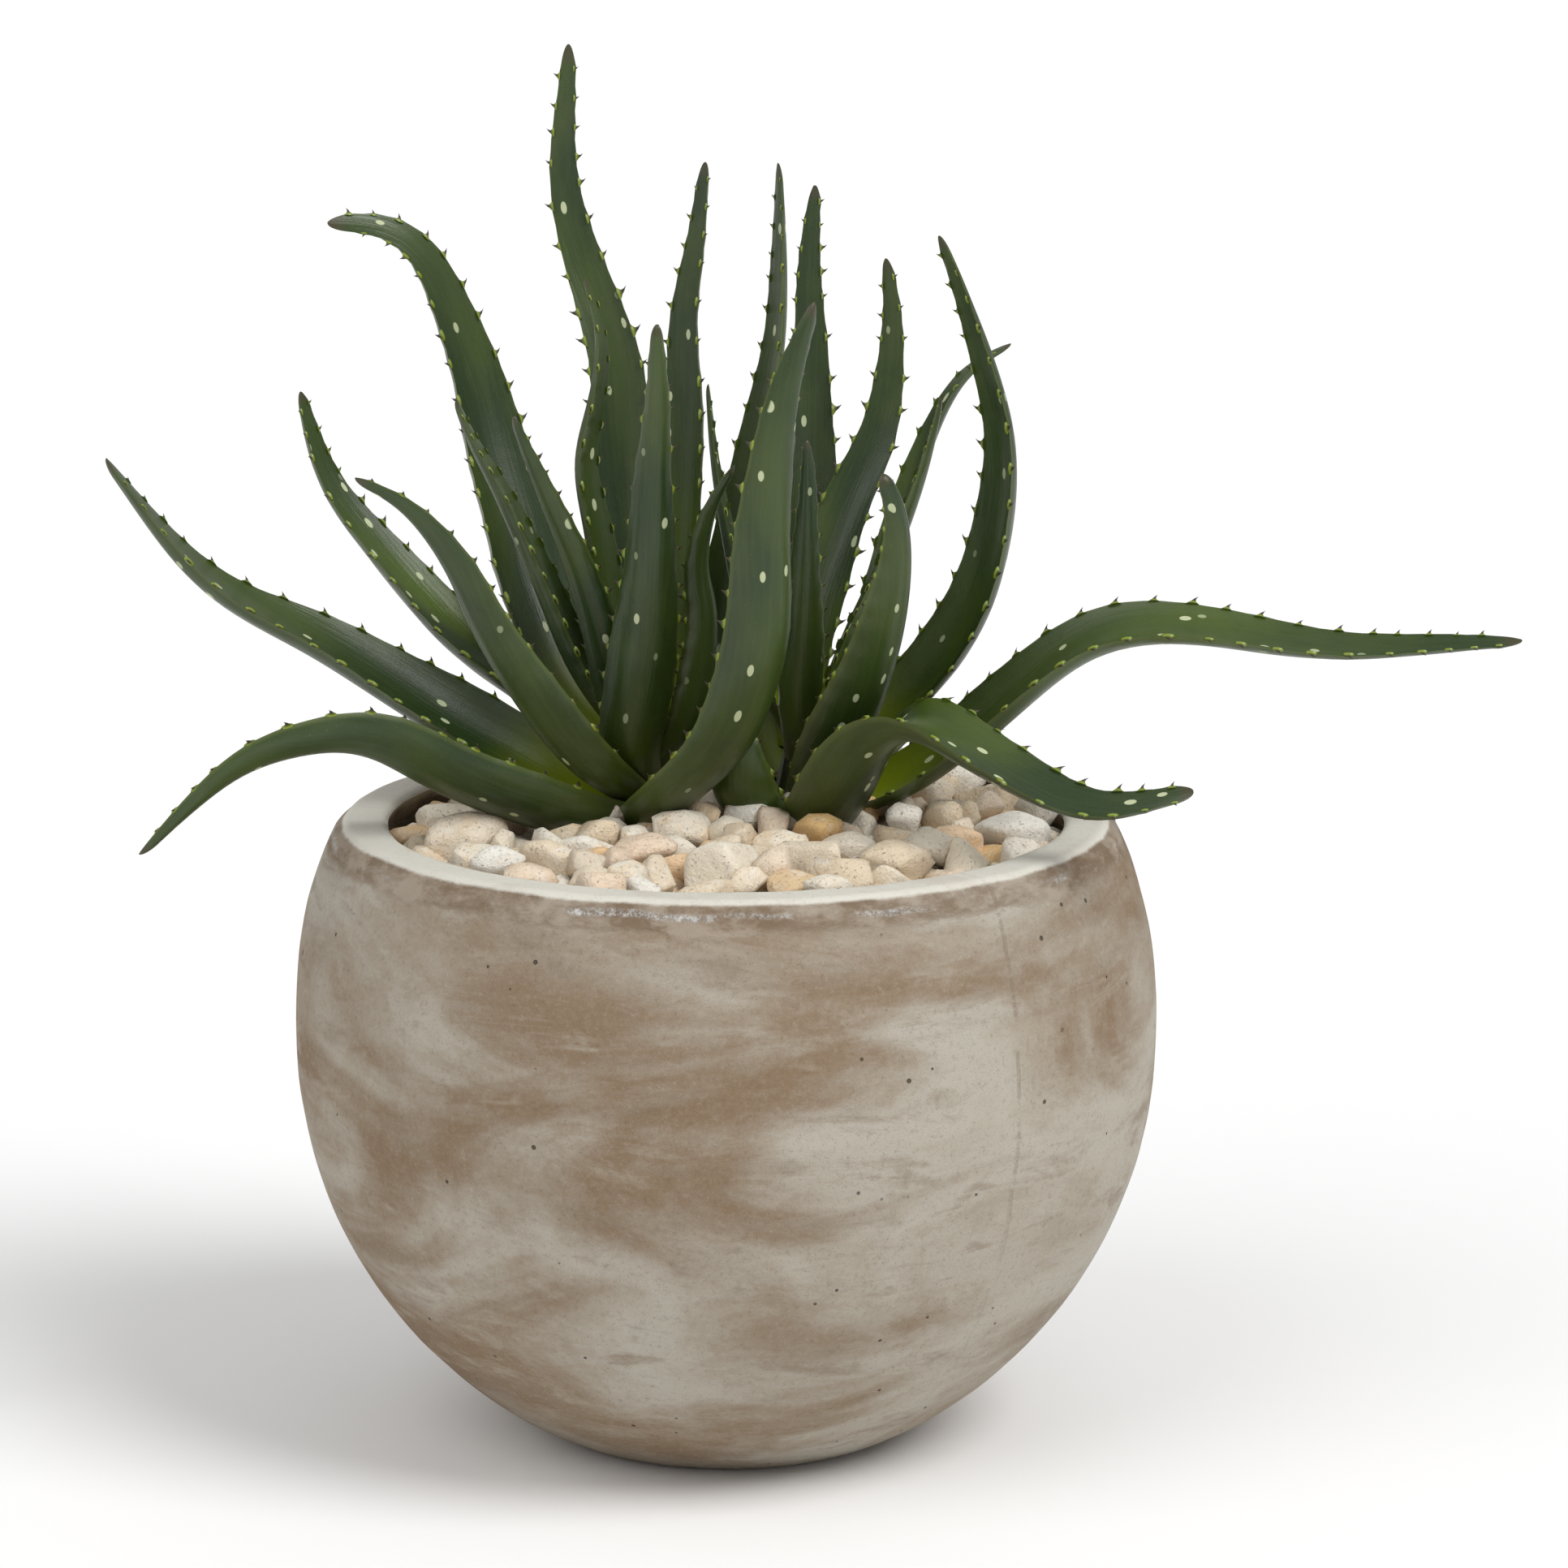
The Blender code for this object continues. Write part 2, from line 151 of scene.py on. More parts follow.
class Finish:
    """One material. Its shader sockets are filled by paint()."""

    def __init__(self, name):
        self.material = bpy.data.materials.new(name)
        self.material.use_nodes = True
        self.tree = self.material.node_tree
        self.tree.nodes.clear()

    def node(self, kind, sockets=None, output=0, stops=None, **settings):
        """Adds a node, sets its settings, then its sockets, and returns one of its outputs."""
        made = self.tree.nodes.new("ShaderNode" + kind)
        for key, value in settings.items():
            setattr(made, key, value)
        if stops:
            ramp = made.color_ramp
            while len(ramp.elements) < len(stops):
                ramp.elements.new(0.5)
            for element, (place, colour) in zip(ramp.elements, stops):
                element.position = place
                element.color = (*colour, 1)
        for key, value in (sockets or {}).items():
            if isinstance(value, Wire):
                self.tree.links.new(value.socket, made.inputs[key])
            else:
                made.inputs[key].default_value = value
        return Wire(self, made.outputs[output])

    def place(self, scale=(1, 1, 1), turn=(0, 0, 0), shift=(0, 0, 0)):
        """The object's own coordinates in metres, stretched, turned and shifted."""
        coordinates = self.node("TexCoord", output="Object")
        return self.node("Mapping", {
            "Vector": coordinates, "Scale": scale, "Rotation": turn, "Location": shift})

    def along_skin(self, scale):
        """The piece's own UV map, across by along in metres, scaled."""
        flat = self.node("UVMap", uv_map="skin")
        return self.node("VectorMath", {0: flat, 1: scale}, operation="MULTIPLY")

    def attribute(self, name):
        return self.node("Attribute", output="Fac", attribute_name=name)

    def cloud(self, vector, scale, detail=4.0, roughness=0.5, distortion=0.0):
        """Fractal noise, 0 to 1 and mostly near 0.5."""
        return self.node("TexNoise", {
            "Vector": vector, "Scale": scale, "Detail": detail,
            "Roughness": roughness, "Distortion": distortion})

    def cell_number(self, cells, channel, **settings):
        """A random number, 0 to 1, that each cell of a Voronoi pattern keeps for itself."""
        colours = self.node("TexVoronoi", cells, output="Color", **settings)
        return self.node("SeparateColor", {"Color": colours}, output=channel)

    def mix(self, share, first, second):
        """One colour going over to another as share goes from 0 to 1."""
        first = (*first, 1) if isinstance(first, tuple) else first
        second = (*second, 1) if isinstance(second, tuple) else second
        return self.node("Mix", {"Factor": share, 6: first, 7: second}, output=2, data_type="RGBA")

    def paint(self, colour, roughness, bump=None, depth=0.0002, **fixed):
        """Joins everything to a Principled shader. Bump is a height in 0 to 1 and depth its metres."""
        shader = self.tree.nodes.new("ShaderNodeBsdfPrincipled")
        for key, value in {"Base Color": colour, "Roughness": roughness}.items():
            if isinstance(value, Wire):
                self.tree.links.new(value.socket, shader.inputs[key])
            else:
                shader.inputs[key].default_value = value
        for key, value in fixed.items():
            shader.inputs[key.replace("_", " ")].default_value = value
        if bump is not None:
            normal = self.node("Bump", {"Height": bump, "Distance": depth, "Strength": 1.0})
            self.tree.links.new(normal.socket, shader.inputs["Normal"])
        out = self.tree.nodes.new("ShaderNodeOutputMaterial")
        self.tree.links.new(shader.outputs[0], out.inputs["Surface"])
        print("finish", self.material.name, "with", len(self.tree.nodes), "nodes")
        return self.material


# %% Modelling helpers
def nothing_selected():
    bpy.ops.object.select_all(action="DESELECT")


def just_made(name):
    """The primitive that was added last, renamed, with its place put into its mesh."""
    piece = bpy.context.object
    piece.name = name
    piece.data.name = name
    bpy.ops.object.transform_apply(location=True, rotation=True, scale=True)
    return piece


def apply_modifiers(piece):
    bpy.context.view_layer.objects.active = piece
    for modifier in list(piece.modifiers):
        bpy.ops.object.modifier_apply(modifier=modifier.name)


def dress(piece, material):
    """Gives a piece its finish, and lets it ride on the one body."""
    piece.data.materials.clear()
    piece.data.materials.append(material)
    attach(piece, "root")


def points_of(mesh):
    flat = np.empty(len(mesh.vertices) * 3)
    mesh.vertices.foreach_get("co", flat)
    return flat.reshape(-1, 3)


def write_attribute(mesh, name, values):
    """One number on every point of a mesh, for a finish to read."""
    mesh.attributes.new(name, "FLOAT", "POINT").data.foreach_set("value", np.asarray(values, float))


# %% [markdown]
# ## Floor
# A plain sheet, far wider than the view, so that no edge of it shows.

# %% Make the floor
nothing_selected()
bpy.ops.mesh.primitive_plane_add(size=60)
floor = just_made("floor")
pale = Finish("pale_floor")
floor.data.materials.append(pale.paint((0.95, 0.95, 0.95, 1), 0.9))

# %% [markdown]
# ## The planter
# The real bowl is cement poured into a mould and turned out: a body of revolution, with a
# thick wall, a flat trowelled rim and small faults all over. It could be lofted or lathed.
# Here its outline is drawn as an edge and spun, as on a lathe, because that keeps it round.
# A shallow displacement then takes away the machine-made evenness of its lip and foot.

# %% The planter's outline
RIM_HEIGHT, RIM_RADIUS = 0.220, 0.134
BELLY_HEIGHT, BELLY_RADIUS = 0.145, 0.1505
FOOT_RADIUS, WALL, FLOOR_THICKNESS = 0.057, 0.017, 0.020
SHOULDER_POWER = 2.4


def outer_radius(height):
    """An ellipse below the belly, and a soft shoulder above it."""
    if height >= BELLY_HEIGHT:
        rise = (height - BELLY_HEIGHT) / (RIM_HEIGHT - BELLY_HEIGHT)
        return BELLY_RADIUS - (BELLY_RADIUS - RIM_RADIUS) * rise**SHOULDER_POWER
    half_axis = BELLY_HEIGHT / math.sqrt(1 - (FOOT_RADIUS / BELLY_RADIUS) ** 2)
    return BELLY_RADIUS * math.sqrt(1 - ((BELLY_HEIGHT - height) / half_axis) ** 2)


def spread(start, end, count):
    return [start + (end - start) * i / (count - 1) for i in range(count)]


def planter_outline():
    """(radius, height) from the middle of the foot, up the outside, over the rim and down inside."""
    outside = [(outer_radius(z), z) for z in spread(0.0015, RIM_HEIGHT - 0.0042, 60)]
    lip = RIM_RADIUS
    rim = [
        (lip - 0.0004, RIM_HEIGHT - 0.0020), (lip - 0.0016, RIM_HEIGHT - 0.0006),
        (lip - 0.0030, RIM_HEIGHT)]
    rim += [(r, RIM_HEIGHT) for r in spread(lip - 0.0045, lip - WALL + 0.0035, 6)]
    rim += [(lip - WALL + 0.0018, RIM_HEIGHT - 0.0004), (lip - WALL + 0.0005, RIM_HEIGHT - 0.0018)]
    inside = [(outer_radius(z) - WALL, z) for z in spread(RIM_HEIGHT - 0.006, FLOOR_THICKNESS + 0.010, 20)]
    bottom = [(inside[-1][0] - 0.012, FLOOR_THICKNESS), (0.0, FLOOR_THICKNESS)]
    foot = [(0.0, 0.0)] + [(r, 0.0) for r in spread(0.02, FOOT_RADIUS - 0.0015, 4)]
    return foot + outside + rim + inside + bottom


# %% Spin the planter
SPIN_STEPS = 144
UNEVEN_SIZE, UNEVEN_DEPTH = 0.035, 0.0012
nothing_selected()
bpy.ops.mesh.primitive_plane_add(size=0.01)
planter = just_made("planter_cast")
outline = planter_outline()
bpy.ops.object.mode_set(mode="EDIT")
bpy.ops.mesh.delete(type="ONLY_FACE")
bpy.ops.mesh.select_all(action="SELECT")
bpy.ops.mesh.merge(type="CENTER")
bpy.ops.transform.translate(value=(outline[0][0], 0, outline[0][1]))
for (r0, z0), (r1, z1) in zip(outline, outline[1:]):
    bpy.ops.mesh.extrude_region_move(TRANSFORM_OT_translate={"value": (r1 - r0, 0, z1 - z0)})
bpy.ops.mesh.select_all(action="SELECT")
bpy.ops.mesh.spin(steps=SPIN_STEPS, angle=math.tau, center=(0, 0, 0), axis=(0, 0, 1))
bpy.ops.mesh.select_all(action="SELECT")
bpy.ops.mesh.remove_doubles(threshold=0.00002)
bpy.ops.mesh.normals_make_consistent(inside=False)
bpy.ops.object.mode_set(mode="OBJECT")

unevenness = bpy.data.textures.new("unevenness", "CLOUDS")
unevenness.noise_scale = UNEVEN_SIZE
uneven = planter.modifiers.new("uneven", "DISPLACE")
uneven.texture = unevenness
uneven.texture_coords = "LOCAL"
uneven.strength = UNEVEN_DEPTH
apply_modifiers(planter)
heights = points_of(planter.data)
heights[:, 2] = np.maximum(heights[:, 2], 0)
planter.data.vertices.foreach_set("co", heights.ravel())
bpy.ops.object.shade_smooth_by_angle(angle=math.radians(50))
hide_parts("planter")
print("planter has", len(planter.data.polygons), "faces")

# %% [markdown]
# ## Washed cement
# The bowl was washed with brown and pale grey slurry while wet, which dragged into long
# drifting swirls. Two stretched clouds, warped by a third, make the drifts. On top come what
# every casting has: sandy grain, black pinholes, a mould seam down one side, a rough brown
# band under the lip with a chalky line of salts, and a rim that was trowelled paler. The
# rim's colour is lighter still, as painted light falling on its top.

# %% Cement finish
cement = Finish("washed_concrete_wall")
spot = cement.place()
height = cement.node("SeparateXYZ", {"Vector": spot}, output="Z")
side_x = cement.node("SeparateXYZ", {"Vector": spot}, output="X")
side_y = cement.node("SeparateXYZ", {"Vector": spot}, output="Y")
radius = cement.node("VectorMath", {0: cement.place((1, 1, 0))}, output="Value", operation="LENGTH")

drift = cement.cloud(cement.place((6.5, 6.5, 15), (0.15, 0.50, 0)), 1.15, 6, 0.55, 0.9)
wisps = cement.cloud(cement.place((9, 9, 50), (0.1, -0.30, 0), (3, 1, 0)), 1.1, 9, 0.62, 1.3)
clouding = cement.cloud(cement.place((1, 1, 1.7), (0, 0, 0), (5, 2, 1)), 24, 9, 0.68, 0.5)
grain = cement.cloud(cement.place(), 1900, 2, 0.6)
sand = cement.cloud(cement.place(), 480, 6, 0.85)
paler_side = side_x.rising(0.02, 0.13) * 0.035

pale_share = (drift * 0.56 + wisps * 0.20 + clouding * 0.24 + paler_side).rising(0.435, 0.600)
body = cement.mix(pale_share, (0.238, 0.166, 0.102), (0.450, 0.415, 0.350))
dark_share = (clouding * 0.5 + wisps * 0.5).rising(0.50, 0.64)
body = cement.mix(dark_share * 0.60, body, (0.185, 0.122, 0.070))
milky = (clouding * 0.4 + wisps * 0.6).rising(0.49, 0.36)
body = cement.mix(milky * 0.45, body, (0.50, 0.465, 0.39))
body = cement.mix(sand.rising(0.48, 0.80) * 0.42, body, (0.50, 0.455, 0.385))
body = cement.mix(sand.rising(0.47, 0.30) * 0.50, body, (0.15, 0.105, 0.068))
body = cement.mix(grain.rising(0.44, 0.25) * 0.45, body, (0.16, 0.115, 0.08))

cells = {"Vector": cement.place(), "Scale": 130.0}
hole_near = cement.node("TexVoronoi", cells, output="Distance")
hole_kind = cement.cell_number(cells, "Red")
hole_size = cement.cell_number(cells, "Blue")
more_holes = side_x.rising(-0.05, 0.14) * 0.10
hole_shape = (hole_near - hole_size * hole_size * 0.07).rising(0.075, 0.03)
holes = hole_shape * (hole_kind + more_holes).rising(0.83, 0.87)
body = cement.mix(holes * 0.85, body, (0.060, 0.042, 0.028))

lip_noise = cement.cloud(cement.place((1, 1, 2)), 42, 6, 0.7)
lip = (height + (lip_noise - 0.5) * 0.012).rising(0.2085, 0.2115)
body = cement.mix(lip * 0.8, body, cement.mix(
    lip_noise.rising(0.40, 0.62), (0.175, 0.118, 0.072), (0.36, 0.30, 0.235)))
salt_path = abs(height - 0.2150 + (cement.cloud(cement.place((1, 1, 0)), 22, 3) - 0.5) * 0.006)
salt_patch = cement.cloud(cement.place((1, 1, 3), (0, 0, 0), (0.4, 0, 0)), 16, 5, 0.6).rising(0.47, 0.56)
salt = salt_path.rising(0.0016, 0.0004) * salt_patch * sand.rising(0.40, 0.58)
body = cement.mix(salt * 0.8, body, (0.66, 0.65, 0.63))

SEAM = math.radians(-49)
seam_waver = (cement.cloud(cement.place((0, 0, 1)), 30, 3) - 0.5) * 0.006
off_seam = abs(side_x * -math.sin(SEAM) + side_y * math.cos(SEAM) + seam_waver)
on_side = (side_x * math.cos(SEAM) + side_y * math.sin(SEAM)).rising(0.0, 0.02)
seam = off_seam.rising(0.0012, 0.0003) * on_side * lip_noise.rising(0.42, 0.52)
body = cement.mix(seam * height.rising(0.06, 0.16) * 0.35, body, (0.20, 0.14, 0.09))

# The rim's top is trowelled paler, and its colour is raised further as painted light from above.
rim_edge = (height + (lip_noise - 0.5) * 0.0022).rising(0.2178, 0.2190)
stain = cement.cloud(cement.place(), 38, 5, 0.6).rising(0.50, 0.72)
rim_colour = cement.mix(stain * 0.4, (0.690, 0.665, 0.590), (0.52, 0.46, 0.37))
rim_colour = cement.mix(sand.rising(0.5, 0.3) * 0.3, rim_colour, (0.36, 0.31, 0.25))
rim_colour = cement.mix(holes * 0.6, rim_colour, (0.12, 0.09, 0.06))
inner_wall = radius.rising(0.1195, 0.1170)
rim_colour = cement.mix(inner_wall * 0.5, rim_colour, (0.42, 0.36, 0.29))
top_share = rim_edge.larger(inner_wall * height.rising(0.15, 0.18))
colour = cement.mix(top_share, body, rim_colour)

relief = 0.50 * sand + 0.22 * grain - holes * 1.8 + lip * lip_noise * 1.1 + salt * 0.2 - seam * 0.6
cement_skin = cement.paint(colour, 0.88 - salt * 0.05, relief, 0.0006, Specular_IOR_Level=0.25)
dress(planter, cement_skin)

# %% [markdown]
# ## Soil
# The soil is the measured solid itself. Little of it shows, deep between the stones, so a
# dark crumbly finish is all that it needs.

# %% Soil finish
soil = Finish("potting_soil_crumbs")
crumbs = soil.cloud(soil.place(), 260, 6, 0.75)
fibres = soil.cloud(soil.place((1, 1, 3)), 700, 3, 0.6).rising(0.55, 0.75)
soil_colour = soil.mix(crumbs.rising(0.35, 0.7), (0.016, 0.010, 0.006), (0.085, 0.055, 0.034))
soil_colour = soil.mix(fibres * 0.5, soil_colour, (0.15, 0.10, 0.06))
soil_skin = soil.paint(soil_colour, 0.95, crumbs + fibres * 0.3, 0.004)
soil_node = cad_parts["soil"]
soil_node.data.materials.clear()
soil_node.data.materials.append(soil_skin)

# %% [markdown]
# ## Stones
# River gravel is tumbled until its corners are round, and some stones then split. Six stones
# are modelled: each starts as a cube, is jostled and cut in edit mode, and is smoothed over a
# fine even mesh, only a little, so that split faces stay flat. Each stone in the bowl is a copy
# of one of these, with its own size, turn and colour. The small ones, of which there are
# hundreds, are copies of the same six stones thinned out to fewer than a hundred faces.

# %% Six stones
STONE_KINDS = 6
SMALL_STONE_FACES = 90


def rough_stone(kind):
    """One stone of unit half-length: a cube, jostled, chipped and rounded."""
    nothing_selected()
    bpy.ops.mesh.primitive_cube_add(size=2)
    stone = just_made(f"stone_kind_{kind}")
    bpy.ops.object.mode_set(mode="EDIT")
    bpy.ops.mesh.select_all(action="SELECT")
    bpy.ops.mesh.subdivide(number_cuts=1, smoothness=0.7 + 0.1 * (kind % 3))
    bpy.ops.transform.vertex_random(offset=0.30, uniform=0.9, normal=0.1, seed=kind + 3)
    chance = random.Random(kind)
    for _ in range(4 + kind % 3):
        facing = Vector((chance.uniform(-1, 1), chance.uniform(-1, 1), chance.uniform(-0.6, 0.9)))
        facing.normalize()
        bpy.ops.mesh.select_all(action="SELECT")
        bpy.ops.mesh.bisect(
            plane_co=facing * chance.uniform(0.62, 0.88), plane_no=facing, use_fill=True, clear_outer=True)
    bpy.ops.mesh.select_all(action="SELECT")
    bpy.ops.mesh.bevel(offset=0.11 + 0.04 * (kind % 2), segments=1, affect="EDGES")
    bpy.ops.mesh.select_all(action="SELECT")
    bpy.ops.mesh.remove_doubles(threshold=0.02)
    bpy.ops.mesh.normals_make_consistent(inside=False)
    bpy.ops.object.mode_set(mode="OBJECT")
    rounded = stone.modifiers.new("rounded", "REMESH")
    rounded.mode = "SMOOTH"
    rounded.octree_depth = 4
    rounded.scale = 0.9
    rounded.use_smooth_shade = True
    softer = stone.modifiers.new("softer", "SMOOTH")
    softer.factor = 0.5
    softer.iterations = 1 + kind % 2
    apply_modifiers(stone)
    places = points_of(stone.data)
    places -= (places.max(0) + places.min(0)) / 2
    places /= (places.max(0) - places.min(0)) / 2
    stone.data.vertices.foreach_set("co", places.ravel())
    return stone


def thinned(stone):
    """A copy of a stone with fewer than a hundred faces."""
    copy = stone.copy()
    copy.data = stone.data.copy()
    copy.name = stone.name + "_small"
    bpy.context.scene.collection.objects.link(copy)
    thin = copy.modifiers.new("thin", "DECIMATE")
    thin.ratio = SMALL_STONE_FACES / (2 * len(stone.data.polygons))
    apply_modifiers(copy)
    return copy


stone_kinds = [rough_stone(kind) for kind in range(STONE_KINDS)]
stone_kinds += [thinned(stone) for stone in stone_kinds]
print("stone kinds with", [len(stone.data.polygons) for stone in stone_kinds], "faces")

# %% [markdown]
# The loose large stones lie where the frame has them. The small ones between them are poured
# in: they start in layers above the bowl and are pushed apart and pulled down, a step at a
# time, until they rest on each other, on the soil, against the wall and round the crowns.
# Stones are flatter than they are wide, so the pouring works on heights stretched by that.

# %% Where the stones lie
BED_EDGE, BED_CROWN, BED_RADIUS = 0.210, 0.216, 0.1145
SOIL_TOP = 0.197
STONE_SQUASH = 0.72
Crown = namedtuple("Crown", "x y radius top")
CROWNS = {
    "left": Crown(-0.031, 0.010, 0.0115, 0.258),
    "right": Crown(0.026, 0.012, 0.0115, 0.256),
}
Stone = namedtuple("Stone", "name middle half")

# The pour: how many stones, their half sizes and how common each is, the heights and the
# share of the bed that they start over, and how they fall, sink into each other and ease off.
SMALL_STONES = 330
SMALL_HALVES_MM, HALF_SHARES = [6.2, 7.2, 8.4, 9.6], [0.25, 0.35, 0.28, 0.12]
POUR_LOW, POUR_HIGH, POUR_SPREAD = 0.214, 0.30, 0.92
ROUNDS, CALM_ROUNDS = 380, 60
FALL_PER_ROUND = 0.7 * MM
NESTLING = 0.86
EASING = 0.36
STONE_SIDE = 0.90
# How far stones may pass the bed's edge, and stand over the soil and over the measured bed.
WALL_SLACK, SOIL_LIFT = 0.0045, 0.0075
EDGE_LIFT, CROWN_LIFT = 0.006, 0.004


def loose_stones():
    """Middle and half size of each loose stone of the frame, read from its box."""
    stones = []
    for name in sorted(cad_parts):
        if name.startswith("pebble_") and name != "pebble_bed":
            low, high = (Vector(corner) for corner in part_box(name))
            stones.append(Stone(name, (low + high) / 2, (high.z - low.z) / 2 / STONE_SQUASH))
    return stones


def pour(fixed, count):
    """Middles and half sizes of small stones that have settled between the fixed ones."""
    chance = np.random.default_rng(4)
    half = chance.choice(SMALL_HALVES_MM, count, p=HALF_SHARES) * MM
    angle = chance.uniform(0, math.tau, count)
    reach = BED_RADIUS * POUR_SPREAD * np.sqrt(chance.uniform(0, 1, count))
    height = chance.uniform(POUR_LOW, POUR_HIGH, count)
    place = np.stack([reach * np.cos(angle), reach * np.sin(angle), height], 1)
    place[:, 2] /= STONE_SQUASH
    still = np.array([stone.middle for stone in fixed])
    still[:, 2] /= STONE_SQUASH
    everyone = np.concatenate([half, [stone.half for stone in fixed]])
    touching = NESTLING * (everyone[:count, None] + everyone[None, :])
    for step in range(ROUNDS):
        if step < ROUNDS - CALM_ROUNDS:
            place[:, 2] -= FALL_PER_ROUND
        others = np.concatenate([place, still])
        apart = place[:, None, :] - others[None, :, :]
        distance = np.linalg.norm(apart, axis=2) + 1e-9
        overlap = np.clip(touching - distance, 0, None)
        overlap[np.arange(count), np.arange(count)] = 0
        place += (apart * (overlap / distance * EASING)[:, :, None]).sum(1)
        for crown in CROWNS.values():
            off = place[:, :2] - (crown.x, crown.y)
            gap = np.linalg.norm(off, axis=1)
            push = np.clip(crown.radius + half * STONE_SIDE - gap, 0, None)
            place[:, :2] += off / gap[:, None] * push[:, None]
        far = np.linalg.norm(place[:, :2], axis=1)
        limit = BED_RADIUS + WALL_SLACK - half * STONE_SIDE
        place[:, :2] *= np.minimum(1, limit / far)[:, None]
        place[:, 2] = np.maximum(place[:, 2], (SOIL_TOP + SOIL_LIFT + half * 0.5) / STONE_SQUASH)
    place[:, 2] *= STONE_SQUASH
    share = np.linalg.norm(place[:, :2], axis=1) / BED_RADIUS
    mound = BED_EDGE + EDGE_LIFT + (BED_CROWN + CROWN_LIFT - BED_EDGE) * (1 - share**2)
    place[:, 2] = np.minimum(place[:, 2], mound)
    return place, half


big_stones = loose_stones()
poured_places, poured_halves = pour(big_stones, SMALL_STONES)
print(len(big_stones), "loose stones,", len(poured_places), "poured ones up to",
      round(poured_places[:, 2].max(), 4))


# %% Lay every stone
def lay_stone(kind, middle, half, number):
    """Points, faces and tones of one copy of a stone, lying where it should."""
    chance = random.Random(number * 31 + 7)
    stretch = Matrix.Diagonal((half * chance.uniform(0.98, 1.14), half * chance.uniform(0.76, 0.94),
                               half * STONE_SQUASH * chance.uniform(0.95, 1.15), 1))
    lean = Matrix.Rotation(math.radians(chance.uniform(-22, 22)), 4, "X")
    turn = Matrix.Rotation(chance.uniform(0, math.tau), 4, "Z")
    flip = Matrix.Rotation(chance.choice([0, math.pi]), 4, "X")
    matrix = np.array(Matrix.Translation(middle) @ turn @ lean @ stretch @ flip)
    mesh = stone_kinds[kind].data
    points = points_of(mesh) @ matrix[:3, :3].T + matrix[:3, 3]
    corners = [tuple(face.vertices) for face in mesh.polygons]
    return points, corners, chance.random(), chance.random()


def stones_piece(name, layouts):
    """One object made of several laid stones, with each stone's two tones on its points."""
    points, faces, tones, warmths = [], [], [], []
    for layout in layouts:
        start = sum(len(part) for part in points)
        some, corners, tone, warmth = lay_stone(*layout)
        points.append(some)
        faces += [tuple(start + i for i in corner) for corner in corners]
        tones += [tone] * len(some)
        warmths += [warmth] * len(some)
    mesh = bpy.data.meshes.new(name)
    mesh.from_pydata(np.concatenate(points).tolist(), [], faces)
    write_attribute(mesh, "tone", tones)
    write_attribute(mesh, "warmth", warmths)
    mesh.shade_smooth()
    piece = bpy.data.objects.new(name, mesh)
    bpy.context.scene.collection.objects.link(piece)
    return piece


stone_pieces = []
for number, stone in enumerate(big_stones):
    piece = stones_piece(f"{stone.name}_stone", [(number % STONE_KINDS, stone.middle, stone.half, number)])
    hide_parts(stone.name)
    stone_pieces.append(piece)
poured = [(STONE_KINDS + number % STONE_KINDS, Vector(place), half, 100 + number)
          for number, (place, half) in enumerate(zip(poured_places, poured_halves))]
bed = stones_piece("pebble_bed_stones", poured)
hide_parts("pebble_bed")
stone_pieces.append(bed)
for stone in stone_kinds:
    bpy.data.objects.remove(stone)
print("stones have", sum(len(piece.data.polygons) for piece in stone_pieces), "faces")

# %% [markdown]
# ## Stone finish
# The gravel is a mix of cream quartz, chalky white, honey and peach stones. Each stone has
# two numbers of its own: one picks its colour from a ramp and the other how warm its stains
# are. Mottling, thin veins and small pits go over that, and the stones that lie deep between
# the others are darkened with painted shade.

# %% Paint the stones
gravel = Finish("river_pebble_mix")
tone = gravel.attribute("tone")
warmth = gravel.attribute("warmth")
mottle = gravel.cloud(gravel.place(), 120, 6, 0.65, 0.4)
fine = gravel.cloud(gravel.place(), 900, 4, 0.7)
stone_colour = gravel.node("ValToRGB", {"Fac": tone}, stops=[
    (0.0, (0.80, 0.71, 0.56)), (0.20, (0.88, 0.84, 0.75)), (0.40, (0.74, 0.60, 0.42)),
    (0.55, (0.86, 0.76, 0.60)), (0.72, (0.80, 0.62, 0.46)), (0.86, (0.76, 0.50, 0.22)),
    (1.0, (0.70, 0.63, 0.52))])
rust = mottle.rising(0.50, 0.68) * warmth.rising(0.45, 1.0)
stone_colour = gravel.mix(rust * 0.6, stone_colour, (0.76, 0.48, 0.22))
stone_colour = gravel.mix(mottle.rising(0.48, 0.30) * 0.45, stone_colour, (0.92, 0.89, 0.82))
vein_cloud = gravel.cloud(gravel.place((1, 1, 1.6)), 70, 5, 0.6, 1.2)
veins = abs(vein_cloud - 0.5).rising(0.012, 0.002)
stone_colour = gravel.mix(veins * 0.12, stone_colour, (0.55, 0.42, 0.28))
pits = fine.rising(0.60, 0.72)
stone_colour = gravel.mix(pits * 0.45, stone_colour, (0.46, 0.36, 0.25))
# Painted shade: stones that lie low, deep between the others, are darkened.
painted_deep_shade = gravel.node("SeparateXYZ", {"Vector": gravel.place()}, output="Z").rising(0.210, 0.200)
stone_colour = gravel.mix(painted_deep_shade * 0.75, stone_colour, (0.16, 0.11, 0.07))
gravel_relief = mottle * 0.7 + fine * 0.25 - veins * 0.03 - pits * 0.25
gravel_skin = gravel.paint(stone_colour, 0.50 + 0.22 * mottle, gravel_relief, 0.0022)
for piece in stone_pieces:
    dress(piece, gravel_skin)

# %% [markdown]
# ## Leaves: the blank
# An aloe leaf is a fleshy blade: a rounded underside, a shallow channel above, two sharp edges
# with teeth, and a blunt tip. All the leaves differ in length, width and bend, yet share that
# build. So one straight blank is modelled, a ring drawn into a section and extruded into a long
# tube, and each leaf is a copy of it that is grown along its own curve. A Curve modifier could
# bend it, but it can't hold a leaf's roll where the leaf stands upright, so a function does it.

